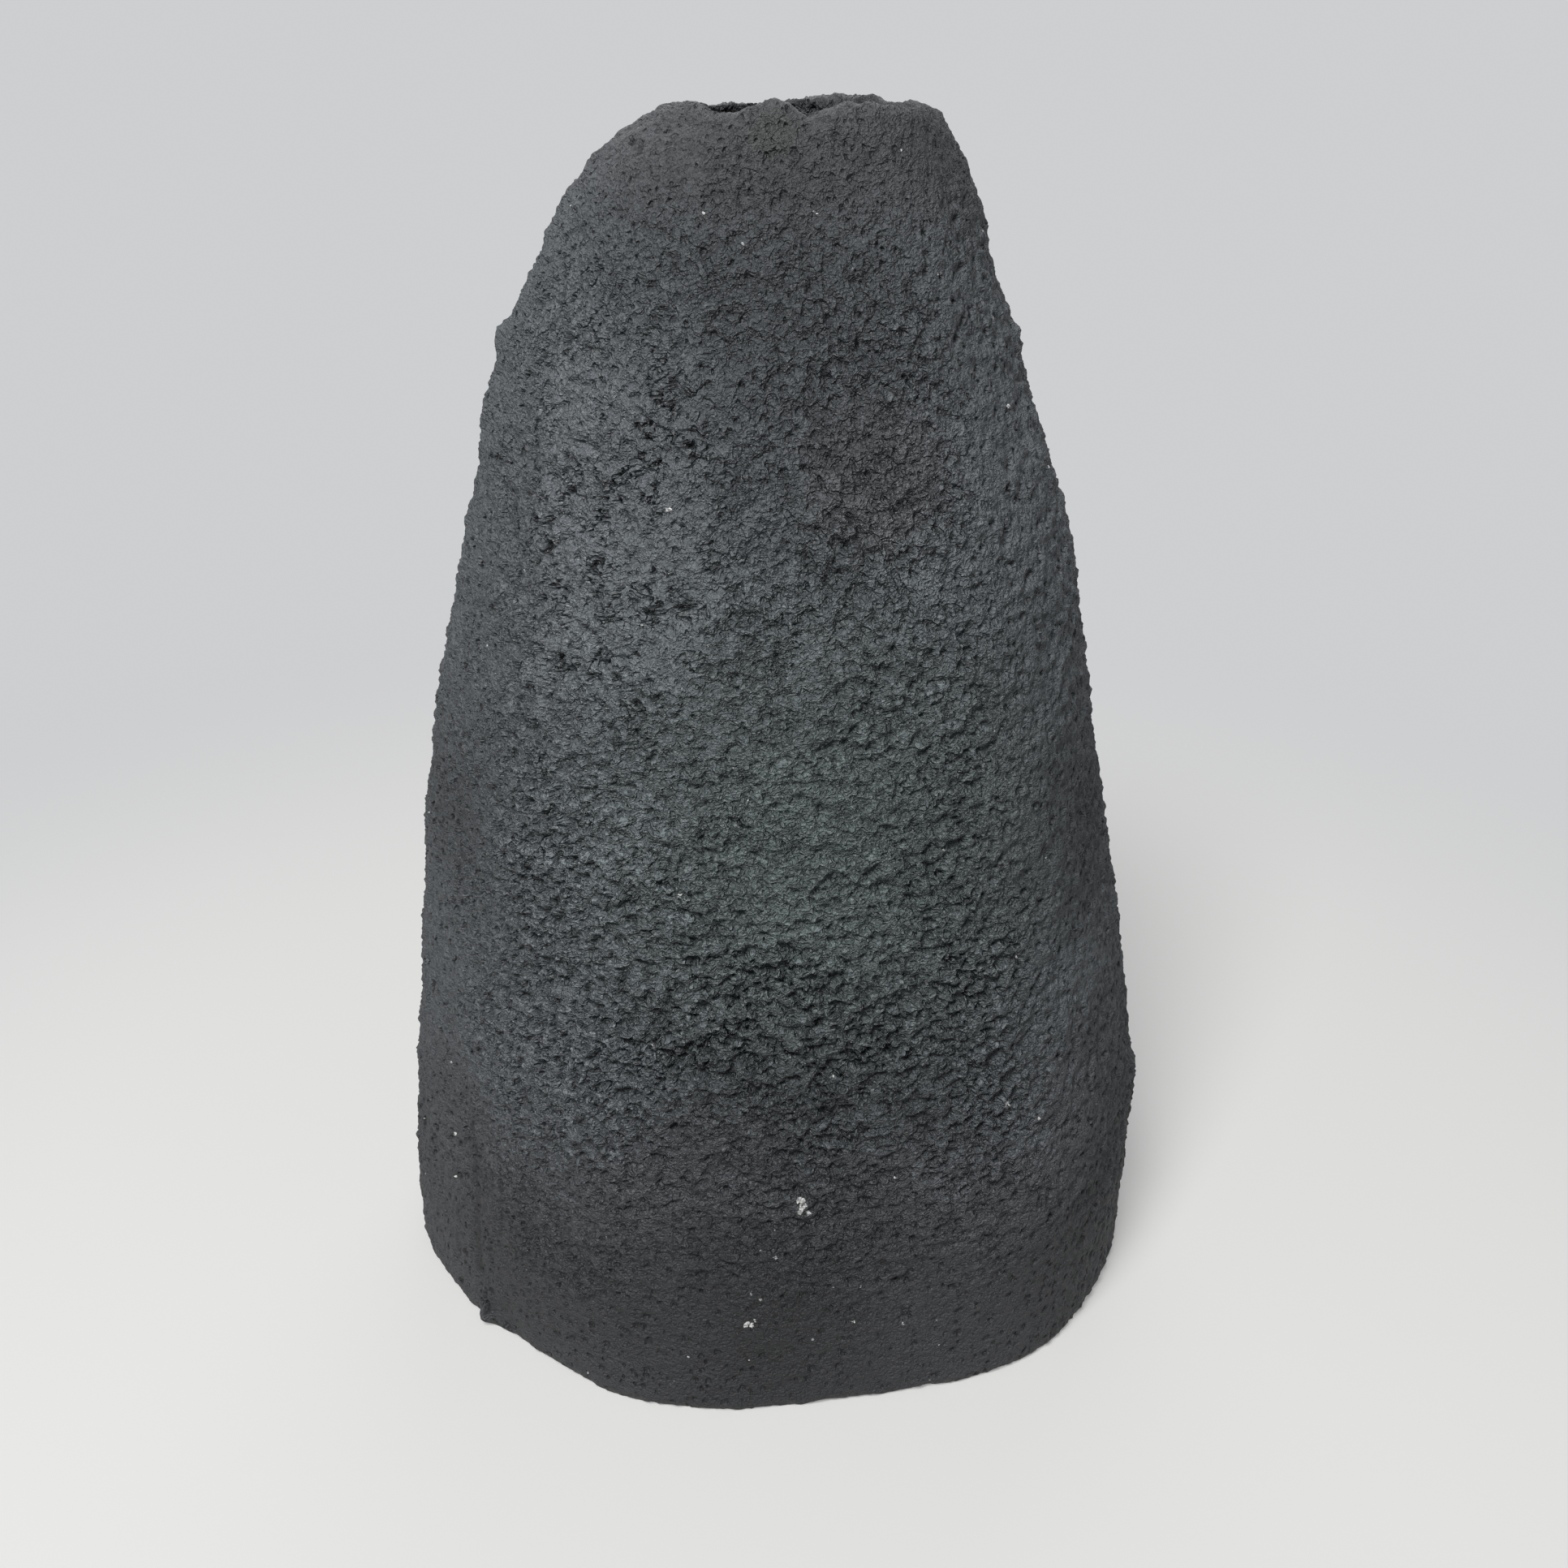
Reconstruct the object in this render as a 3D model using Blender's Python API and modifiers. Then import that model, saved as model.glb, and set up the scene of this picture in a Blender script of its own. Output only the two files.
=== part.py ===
"""Slab-built stoneware vase, in metres, standing on z = 0 with +X to the right and -Y to the front.

A flat floor slab carries four bent wall slabs that lean in and meet at upright joints. A coil closes the
inner corner round the floor, a rim coil finishes the mouth, and a thin glaze lines the inside. The slip
in every joint is a narrow gap between the clay pieces.
"""

import math

import bmesh
import bpy
import numpy as np

# Outside of the vase. From the foot up, each level draws the skin in by so much on the left, on the right
# and at the front and back. The lower levels are heights above the table, the upper ones drops below the rim.
HEIGHT = 0.250
FOOT_WIDTH = 0.169
FOOT_DEPTH = 0.132
LOWER_LEVELS = (
    (0.000, 0.0000, 0.0000, 0.0000),
    (0.014, 0.0005, 0.0000, 0.0000),
    (0.040, 0.0025, -0.0005, 0.0005),
    (0.080, 0.0075, 0.0060, 0.0030),
)
UPPER_LEVELS = (
    (0.120, 0.0140, 0.0155, 0.0090),
    (0.075, 0.0255, 0.0250, 0.0190),
    (0.044, 0.0330, 0.0355, 0.0270),
    (0.024, 0.0435, 0.0425, 0.0330),
    (0.011, 0.0510, 0.0465, 0.0375),
    (0.000, 0.0645, 0.0530, 0.0430),
)

# Hand-pressed unevenness of the plan: direction and spread in degrees (front is -90), and the share by
# which the skin stands out there.
PLAN_UNEVENNESS = (
    (-150, 16, -0.030),
    (-108, 16, 0.035),
    (-50, 18, 0.045),
    (40, 20, 0.025),
    (95, 15, -0.015),
    (132, 18, 0.030),
)

# Marks of the hands on the outer skin alone: direction in degrees, height, spread in degrees, spread up the
# wall, and how far the skin stands out there.
HAND_MARKS = (
    (-97, 0.001, 10, 0.014, 0.0015),
    (-126, 0.002, 8, 0.012, -0.0018),
    (-53, 0.001, 9, 0.011, 0.0005),
    (-10, 0.171, 12, 0.010, 0.0009),
)

# Swells of the torn, hand-pressed walls: how many go round the plan, how far apart they are up the wall, how
# high they stand, and how far from a wall's edges they fade in.
SWELLS_ROUND = 13
SWELL_SPACING = 0.030
SWELL_HEIGHT = 0.0012
SWELL_FADE = 0.020

# Clay and glaze thicknesses.
WALL = 0.0080
FLOOR = 0.0090
FOOT_ROUND = 0.0015
COVE = 0.0090
RIM_HEIGHT = 0.0120
RIM_THICKNESS = 0.0070
RIM_ROUND = 0.0020
GLAZE = 0.0008
GLAZE_STOP = 0.0040
SLIP_GAP = 0.0003

# Fired colours, linear, and how matte they are.
WALL_COLOUR = (0.072, 0.078, 0.082)
RIM_COLOUR = (0.056, 0.056, 0.057)
FOOT_COLOUR = (0.060, 0.058, 0.056)
GLAZE_COLOUR = (0.045, 0.046, 0.048)
CLAY_ROUGHNESS = 0.85
GLAZE_ROUGHNESS = 0.25

# Upright joints between the wall slabs, in degrees round the plan, and the fineness of the surfaces.
LEFT_FRONT_JOINT = -144
RIGHT_FRONT_JOINT = -42
RIGHT_BACK_JOINT = 42
LEFT_BACK_JOINT = 144
DEGREES_PER_FACE = 6
WALL_LEVELS = 33
ROUND_POINTS = 4

SEAT = HEIGHT - RIM_HEIGHT
FLOOR_TOP = FLOOR + SLIP_GAP
WALL_TOP = SEAT - SLIP_GAP / 2
RIM_BOTTOM = SEAT + SLIP_GAP / 2
LINER = WALL + SLIP_GAP

FOOT_REACH = np.array((FOOT_WIDTH / 2, FOOT_WIDTH / 2, FOOT_DEPTH / 2))
LEVELS = LOWER_LEVELS + tuple((HEIGHT - drop, *drawn_in) for drop, *drawn_in in UPPER_LEVELS)
LEVEL_HEIGHTS = np.array([level[0] for level in LEVELS])
LEVEL_REACH = FOOT_REACH - np.array([level[1:] for level in LEVELS])
LEVEL_SLOPES = np.gradient(LEVEL_REACH, LEVEL_HEIGHTS, axis=0)


def reach_at(height):
    """Left, right and front-to-back reach of the skin at a height, on a smooth curve through the levels."""
    held = min(max(height, LEVEL_HEIGHTS[0]), LEVEL_HEIGHTS[-1])
    above = min(int(np.searchsorted(LEVEL_HEIGHTS, held, side="right")), len(LEVEL_HEIGHTS) - 1)
    below = above - 1
    span = LEVEL_HEIGHTS[above] - LEVEL_HEIGHTS[below]
    t = (held - LEVEL_HEIGHTS[below]) / span
    reach = (
        (2 * t**3 - 3 * t**2 + 1) * LEVEL_REACH[below]
        + (t**3 - 2 * t**2 + t) * span * LEVEL_SLOPES[below]
        + (3 * t**2 - 2 * t**3) * LEVEL_REACH[above]
        + (t**3 - t**2) * span * LEVEL_SLOPES[above]
    )
    overshoot = height - held
    return reach + overshoot * LEVEL_SLOPES[above if overshoot > 0 else below]


def away_from(degrees, direction):
    """How far one direction lies from another, by the shorter way round."""
    return (degrees - direction + 180) % 360 - 180


def plan_share(degrees):
    """How far the plan stands out from a plain ellipse in one direction, as a factor near one."""
    share = 1.0
    for direction, spread, amount in PLAN_UNEVENNESS:
        share += amount * math.exp(-((away_from(degrees, direction) / spread) ** 2))
    return share


def outside_point(degrees, height):
    left, right, depth = reach_at(height)
    share = plan_share(degrees)
    turn = math.radians(degrees)
    across = (right - left) / 2 + (right + left) / 2 * share * math.cos(turn)
    return np.array((across, depth * share * math.sin(turn), height))


def outward(degrees, height):
    """Unit normal of the outer skin, from its slopes round the plan and up the wall."""
    turn_step, height_step = 0.5, 0.0005
    along = outside_point(degrees + turn_step, height) - outside_point(degrees - turn_step, height)
    up = outside_point(degrees, height + height_step) - outside_point(degrees, height - height_step)
    normal = np.cross(along, up)
    return normal / np.linalg.norm(normal)


def point(degrees, height, inset=0.0):
    """The point that lies a given depth under the outer skin, at an exact height above the table."""
    skin_height = height
    if inset:
        for _ in range(8):
            skin_height = height + inset * outward(degrees, skin_height)[2]
    under = outside_point(degrees, skin_height) - inset * outward(degrees, skin_height)
    under[2] = height
    return under


def swell(degrees, height):
    """Height of the crooked rows of swells on the walls, which fade out at a wall's edges."""
    turn = math.radians(degrees)
    climb = 2 * math.pi * height / SWELL_SPACING
    drift = math.sin(3 * turn + climb / 4) + math.sin(5 * turn - climb / 3)
    rows = math.sin(SWELLS_ROUND * turn + drift) * math.sin(climb + drift)
    edge = min(height - FLOOR_TOP, WALL_TOP - height) / SWELL_FADE
    return SWELL_HEIGHT / 2 * rows * min(max(edge, 0.0), 1.0)


def stand_out(degrees, height):
    """How far the worked skin stands out from the smooth form."""
    total = swell(degrees, height)
    for direction, level, spread, tall, rise in HAND_MARKS:
        away = away_from(degrees, direction) / spread
        total += rise * math.exp(-(away**2) - ((height - level) / tall) ** 2)
    return total


def skin_point(degrees, height, inset=0.0):
    """A point under the worked outer skin, which carries the hand marks and swells."""
    return point(degrees, height, inset - stand_out(degrees, height))


def mouth_point(degrees, inset):
    """A point at the rim's top, inset level from the mouth's outer edge."""
    level = outward(degrees, HEIGHT)
    level[2] = 0.0
    return outside_point(degrees, HEIGHT) - inset * level / np.linalg.norm(level)


def throat_point(degrees, height, gap=0.0):
    """A point on the rim's inner face, which runs straight from the wall slabs' inner edge to the mouth."""
    low = point(degrees, SEAT, WALL + gap)
    high = mouth_point(degrees, RIM_THICKNESS + gap)
    return low + (high - low) * (height - SEAT) / RIM_HEIGHT


def all_round():
    return range(-180, 180, DEGREES_PER_FACE)


def wall_heights():
    return np.linspace(FLOOR_TOP, WALL_TOP, WALL_LEVELS)


def quarter_turn():
    return np.linspace(0.0, math.pi / 2, ROUND_POINTS)


def loft(name, sections, closed=False, capped=(0, -1)):
    """A skin through equal-sized closed sections. A closed run joins its ends, and an open one caps them."""
    mesh = bmesh.new()
    rows = [[mesh.verts.new(corner) for corner in section] for section in sections]
    pairs = list(zip(rows, rows[1:]))
    if closed:
        pairs.append((rows[-1], rows[0]))
        capped = ()
    for first, second in pairs:
        for index, corner in enumerate(first):
            following = (index + 1) % len(first)
            mesh.faces.new((corner, first[following], second[following], second[index]))
    for end in capped:
        cap(mesh, rows[end])
    return finished_mesh(name, mesh)


def cap(mesh, row):
    """Closes a section with a ladder of faces between its two halves, so that a bent section stays true."""
    last = len(row) - 1
    for index in range(len(row) // 2 - 1):
        mesh.faces.new((row[index], row[index + 1], row[last - index - 1], row[last - index]))


def finished_mesh(name, mesh):
    bmesh.ops.recalc_face_normals(mesh, faces=mesh.faces)
    data = bpy.data.meshes.new(name)
    mesh.to_mesh(data)
    mesh.free()
    return data


def place(name, data, material):
    data.shade_smooth()
    data.set_sharp_from_angle(angle=math.radians(40))
    data.materials.append(material)
    piece = bpy.data.objects.new(name, data)
    parts.objects.link(piece)
    return piece


def finish(name, colour, roughness):
    material = bpy.data.materials.new(name)
    material.use_nodes = True
    shader = material.node_tree.nodes["Principled BSDF"]
    shader.inputs["Base Color"].default_value = (*colour, 1.0)
    shader.inputs["Roughness"].default_value = roughness
    shader.inputs["Metallic"].default_value = 0.0
    return material


def fired_clay(name, colour):
    return finish(name, colour, CLAY_ROUGHNESS)


def floor_slab():
    """The flat slab that the vase stands on, with a softened lower edge."""
    outlines = [[skin_point(turn, 0.0, FOOT_ROUND) for turn in all_round()]]
    for height in (FOOT_ROUND, FLOOR):
        outlines.append([skin_point(turn, height) for turn in all_round()])
    return place("floor_slab", loft("floor_slab", outlines), fired_clay("foot_clay", FOOT_COLOUR))


def wall_slab(name, start, end):
    """One bent wall slab from joint to joint, pulled back from each joint by half the slip gap."""
    sections = []
    for turn in range(start, end + 1, DEGREES_PER_FACE):
        outer = [skin_point(turn, height) for height in wall_heights()]
        inner = [point(turn, height, WALL) for height in wall_heights()]
        section = outer + inner[::-1]
        along = np.array((-math.sin(math.radians(turn)), math.cos(math.radians(turn)), 0.0))
        pull = SLIP_GAP / 2 * ((turn == start) - (turn == end))
        sections.append([corner + pull * along for corner in section])
    return place(name, loft(name, sections), fired_clay(name + "_clay", WALL_COLOUR))


def rounded(start, corner, end):
    """Points of a softened corner, on a curve that leaves each side along that side."""
    return [
        (1 - t) ** 2 * start + 2 * t * (1 - t) * corner + t**2 * end
        for t in np.linspace(0.0, 1.0, ROUND_POINTS)
    ]


def rim_coil():
    """The band of clay round the mouth: the skin's slope outside, a rounded lip and a straight throat."""
    lip_start = HEIGHT - RIM_ROUND
    sections = []
    for turn in all_round():
        section = [point(turn, RIM_BOTTOM), point(turn, SEAT + RIM_HEIGHT / 2)]
        section += rounded(point(turn, lip_start), mouth_point(turn, 0.0), mouth_point(turn, RIM_ROUND))
        section += rounded(
            mouth_point(turn, RIM_THICKNESS - RIM_ROUND),
            mouth_point(turn, RIM_THICKNESS),
            throat_point(turn, lip_start),
        )
        section.append(throat_point(turn, RIM_BOTTOM))
        sections.append(section)
    return place("rim_coil", loft("rim_coil", sections, closed=True), fired_clay("rim_clay", RIM_COLOUR))


def floor_seam_coil():
    """The coil that is pressed into a cove in the inner corner between the floor and the walls."""
    sections = []
    for turn in all_round():
        section = [point(turn, FLOOR_TOP, LINER)]
        for angle in quarter_turn():
            inset = LINER + COVE * (1 - math.cos(angle))
            section.append(point(turn, FLOOR_TOP + COVE * (1 - math.sin(angle)), inset))
        sections.append(section)
    coil = loft("floor_seam_coil", sections, closed=True)
    return place("floor_seam_coil", coil, fired_clay("seam_clay", WALL_COLOUR))


def glaze_liner():
    """The glaze that seals the inside: one thin cup from the floor over the cove and up the throat."""
    cove_top = FLOOR_TOP + COVE
    outlines = []
    for angle in quarter_turn()[::-1]:
        inset = LINER + SLIP_GAP + COVE * (1 - math.cos(angle))
        height = FLOOR_TOP + SLIP_GAP + COVE * (1 - math.sin(angle))
        outlines.append([point(turn, height, inset) for turn in all_round()])
    for height in wall_heights()[:-1:2]:
        if height > cove_top + SLIP_GAP:
            outlines.append([point(turn, height, LINER) for turn in all_round()])
    for height in (SEAT, HEIGHT - GLAZE_STOP):
        outlines.append([throat_point(turn, height, SLIP_GAP) for turn in all_round()])
    data = loft("glaze_liner", outlines, capped=(0,))
    liner = place("glaze_liner", data, finish("liner_glaze", GLAZE_COLOUR, GLAZE_ROUGHNESS))
    thickness = liner.modifiers.new("glaze thickness", "SOLIDIFY")
    thickness.thickness = GLAZE
    thickness.offset = -1.0
    thickness.use_even_offset = True
    return liner


for leftover in list(bpy.data.objects):
    bpy.data.objects.remove(leftover, do_unlink=True)
parts = bpy.data.collections.new("stoneware_vase")
bpy.context.scene.collection.children.link(parts)

floor_slab()
wall_slab("front_wall", LEFT_FRONT_JOINT, RIGHT_FRONT_JOINT)
wall_slab("right_wall", RIGHT_FRONT_JOINT, RIGHT_BACK_JOINT)
wall_slab("back_wall", RIGHT_BACK_JOINT, LEFT_BACK_JOINT)
wall_slab("left_wall", LEFT_BACK_JOINT, LEFT_FRONT_JOINT + 360)
floor_seam_coil()
rim_coil()
glaze_liner()
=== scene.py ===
# %% [markdown]
# # A rough stoneware vase, dressed in Blender
# The vase is built from slabs of coarse clay: a floor, four wall slabs and a band of clay round the mouth.
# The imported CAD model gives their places. Here they get the skin that the fire and the potter's hands left:
# torn grain, pits, drag marks, a chipped mouth and white grains of quartz. Lengths are in metres.

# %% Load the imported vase
import math
import random
import time

import bpy
import numpy as np
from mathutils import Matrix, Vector


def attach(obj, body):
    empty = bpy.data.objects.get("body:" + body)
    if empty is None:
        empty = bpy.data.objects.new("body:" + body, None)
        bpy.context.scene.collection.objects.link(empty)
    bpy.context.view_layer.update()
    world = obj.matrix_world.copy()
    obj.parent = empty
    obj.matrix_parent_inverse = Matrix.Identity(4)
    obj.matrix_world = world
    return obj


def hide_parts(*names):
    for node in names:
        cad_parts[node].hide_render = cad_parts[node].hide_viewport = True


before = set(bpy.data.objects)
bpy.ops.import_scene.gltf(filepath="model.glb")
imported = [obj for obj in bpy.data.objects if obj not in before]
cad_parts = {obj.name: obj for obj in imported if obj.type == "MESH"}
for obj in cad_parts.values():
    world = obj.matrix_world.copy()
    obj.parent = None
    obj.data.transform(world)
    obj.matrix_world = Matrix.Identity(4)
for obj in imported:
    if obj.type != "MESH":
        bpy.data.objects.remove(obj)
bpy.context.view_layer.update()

started = time.time()

# %% [markdown]
# ## Tools for picking
# A learner picks an object with a click and faces with a box. A script has to do the same on purpose: an
# operator acts on whatever is selected, so everything is put aside first, and then one object, or the faces
# and edges that answer a question about their place, are picked.

# %% Pick an object, pick faces, pick edges
VERTEX, EDGE, FACE = (True, False, False), (False, True, False), (False, False, True)


def pick(*objects):
    bpy.ops.object.select_all(action="DESELECT")
    for obj in objects:
        obj.select_set(True)
    bpy.context.view_layer.objects.active = objects[0]


def edit(obj, mode):
    pick(obj)
    bpy.context.tool_settings.mesh_select_mode = mode
    bpy.ops.object.mode_set(mode="EDIT")


def leave():
    bpy.ops.object.mode_set(mode="OBJECT")


def clear_picks(mesh):
    for parts in (mesh.vertices, mesh.edges, mesh.polygons):
        parts.foreach_set("select", np.zeros(len(parts), bool))


def corners(mesh):
    places = np.empty(len(mesh.vertices) * 3, np.float32)
    mesh.vertices.foreach_get("co", places)
    return places.reshape(-1, 3)


def face_facts(mesh):
    middles = np.empty(len(mesh.polygons) * 3, np.float32)
    normals = np.empty(len(mesh.polygons) * 3, np.float32)
    mesh.polygons.foreach_get("center", middles)
    mesh.polygons.foreach_get("normal", normals)
    return middles.reshape(-1, 3), normals.reshape(-1, 3)


def edge_facts(mesh):
    ends = np.empty(len(mesh.edges) * 2, np.int32)
    mesh.edges.foreach_get("vertices", ends)
    ends = ends.reshape(-1, 2)
    places = corners(mesh)
    return (places[ends[:, 0]] + places[ends[:, 1]]) / 2, places[ends[:, 1]] - places[ends[:, 0]]


def pick_faces(obj, wanted):
    clear_picks(obj.data)
    obj.data.polygons.foreach_set("select", np.asarray(wanted, bool))
    edit(obj, FACE)


def pick_edges(obj, wanted):
    clear_picks(obj.data)
    obj.data.edges.foreach_set("select", np.asarray(wanted, bool))
    edit(obj, EDGE)


def apply_modifier(obj, name, kind, **settings):
    pick(obj)
    modifier = obj.modifiers.new(name, kind)
    for key, value in settings.items():
        setattr(modifier, key, value)
    bpy.ops.object.modifier_apply(modifier=name)


print("tools ready")

# %% [markdown]
# ## The camera
# The photograph was taken from close by and a little above the mouth, so the vase narrows strongly upwards
# and its foot looks round. The lens and the place come from the outline: the flat foot and the mouth are
# ovals whose flatness tells how high the camera was.

# %% Camera
LENS_MM, SENSOR_MM = 37, 36
CAMERA_PLACE = (0.00375, -0.3185, 0.2605)
LOOKS_DOWN = math.radians(24.77)

bpy.ops.object.camera_add(location=CAMERA_PLACE, rotation=(math.pi / 2 - LOOKS_DOWN, 0, 0))
camera = bpy.context.object
camera.name = "camera"
camera.data.lens = LENS_MM
camera.data.sensor_width = SENSOR_MM
camera.data.clip_start = 0.01
bpy.context.scene.camera = camera
print("camera", [round(v, 4) for v in camera.location])

# %% [markdown]
# ## One skin over all the clay
# The slabs were smeared together while they were wet, so the rough skin runs across the joints. If each slab
# were given its own relief, the joints would show as cracks. So copies of the outsides of all the slabs are
# joined into one skin, welded where they meet, made rough as one, and only then parted into slabs again.
# Each copy first gets a material of its own: it is the label by which the skin is parted later.

# %% Copy the outside of each clay piece
CLAY = ["floor_slab", "front_wall", "right_wall", "back_wall", "left_wall", "rim_coil"]
WALLS = CLAY[1:5]
SAME_POINT, WELD = 0.00001, 0.0005
FACES_OUT = 0.4
FACES_DOWN = -0.9


def merged_copy(node):
    pick(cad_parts[node])
    bpy.ops.object.duplicate()
    obj = bpy.context.object
    obj.name = node + "_copy"
    world = obj.matrix_world.copy()
    obj.parent = None
    obj.matrix_world = world
    for key in list(obj.keys()):
        del obj[key]
    edit(obj, VERTEX)
    bpy.ops.mesh.select_all(action="SELECT")
    bpy.ops.mesh.remove_doubles(threshold=SAME_POINT)
    bpy.ops.mesh.tris_convert_to_quads(face_threshold=math.pi, shape_threshold=math.pi,
                                       topology_influence=1.5)
    leave()
    return obj


def outside_faces(node, middles, normals):
    away = middles[:, :2] / np.linalg.norm(middles[:, :2], axis=1, keepdims=True)
    outward = (normals[:, :2] * away).sum(axis=1)
    if node == "rim_coil":
        return normals[:, 2] > FACES_DOWN
    return outward > FACES_OUT


copies = []
for node in CLAY:
    copy = merged_copy(node)
    copy.data.materials.clear()
    copy.data.materials.append(bpy.data.materials.new(node))
    pick_faces(copy, ~outside_faces(node, *face_facts(copy.data)))
    bpy.ops.mesh.delete(type="FACE")
    leave()
    print(node, "outside faces", len(copy.data.polygons),
          "quads", sum(len(f.vertices) == 4 for f in copy.data.polygons))
    copies.append(copy)

# %% [markdown]
# The copies are joined and welded. Two levels of Subdivision Surface turn the flat facets of the CAD model
# into one smooth form. After that a finer net is cut into it with Subdivide: the edges that run round the
# vase and the edges that run up it are cut separately, because the rim has short steps and the walls long
# ones, and the net should be about half a millimetre everywhere.

# %% Join, weld, smooth and cut a fine net
SMOOTH_LEVELS = 2
NET = 0.00056
CUTS_ROUND, MOST_CUTS_UP = 2, 6
SIDEWAYS_SHARE = 0.6

pick(*copies)
bpy.ops.object.join()
skin = bpy.context.object
skin.name = "clay_skin"
edit(skin, VERTEX)
bpy.ops.mesh.select_all(action="SELECT")
bpy.ops.mesh.remove_doubles(threshold=WELD)
leave()
apply_modifier(skin, "smooth form", "SUBSURF", levels=SMOOTH_LEVELS, render_levels=SMOOTH_LEVELS)


def runs_round(middles, along):
    away = middles[:, :2] / np.linalg.norm(middles[:, :2], axis=1, keepdims=True)
    length = np.linalg.norm(along, axis=1)
    sideways = np.abs(-along[:, 0] * away[:, 1] + along[:, 1] * away[:, 0])
    return sideways > SIDEWAYS_SHARE * length, length


def cut(wanted, cuts):
    pick_edges(skin, wanted)
    bpy.ops.mesh.subdivide(number_cuts=cuts)
    leave()


middles, along = edge_facts(skin.data)
round_edges, _ = runs_round(middles, along)
cut(round_edges, CUTS_ROUND)
for cuts in range(MOST_CUTS_UP, 0, -1):
    middles, along = edge_facts(skin.data)
    round_edges, length = runs_round(middles, along)
    steps = np.round(length / NET).astype(int)
    wanted = steps == cuts + 1
    if cuts == MOST_CUTS_UP:
        wanted = steps >= cuts + 1
    if (wanted & ~round_edges).any():
        cut(wanted & ~round_edges, cuts)
print("skin faces", len(skin.data.polygons), "seconds", round(time.time() - started, 1))

# %% [markdown]
# ## Sums on the surface
# Relief and colour both come from node trees, and a node tree is a sum written as boxes and wires. To keep
# the sums readable, `Field` stands for a number that changes over the surface: adding or multiplying two
# fields adds a Math node and its wires. The same few words then serve the geometry tree, which moves the
# clay, and the shader trees, which colour it.

# %% Fields: numbers that change over the surface
def wire(tree, value, socket):
    if isinstance(value, Field):
        value = value.socket
    if isinstance(value, bpy.types.NodeSocket):
        tree.links.new(value, socket)
    else:
        socket.default_value = value


def box(tree, kind, inputs=None, **settings):
    node = tree.nodes.new(kind)
    for key, value in settings.items():
        setattr(node, key, value)
    for key, value in (inputs or {}).items():
        wire(tree, value, node.inputs[key])
    return node


class Field:
    def __init__(self, tree, socket):
        self.tree, self.socket = tree, socket

    def math(self, operation, *others):
        node = self.tree.nodes.new("ShaderNodeMath")
        node.operation = operation
        for socket, value in zip(node.inputs, (self, *others)):
            wire(self.tree, value, socket)
        return Field(self.tree, node.outputs[0])

    def __add__(self, other):
        return self.math("ADD", other)

    def __sub__(self, other):
        return self.math("SUBTRACT", other)

    def __mul__(self, other):
        return self.math("MULTIPLY", other)

    def __abs__(self):
        return self.math("ABSOLUTE")

    def ramp(self, start, end):
        node = box(self.tree, "ShaderNodeMapRange", {"Value": self, "From Min": start, "From Max": end},
                   interpolation_type="SMOOTHSTEP")
        return Field(self.tree, node.outputs["Result"])

    def flipped(self):
        return self * -1 + 1

    def near_value(self, value, reach):
        """1 where the field has that value, falling to 0 at that reach."""
        return abs(self - value).ramp(reach, 0)


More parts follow.
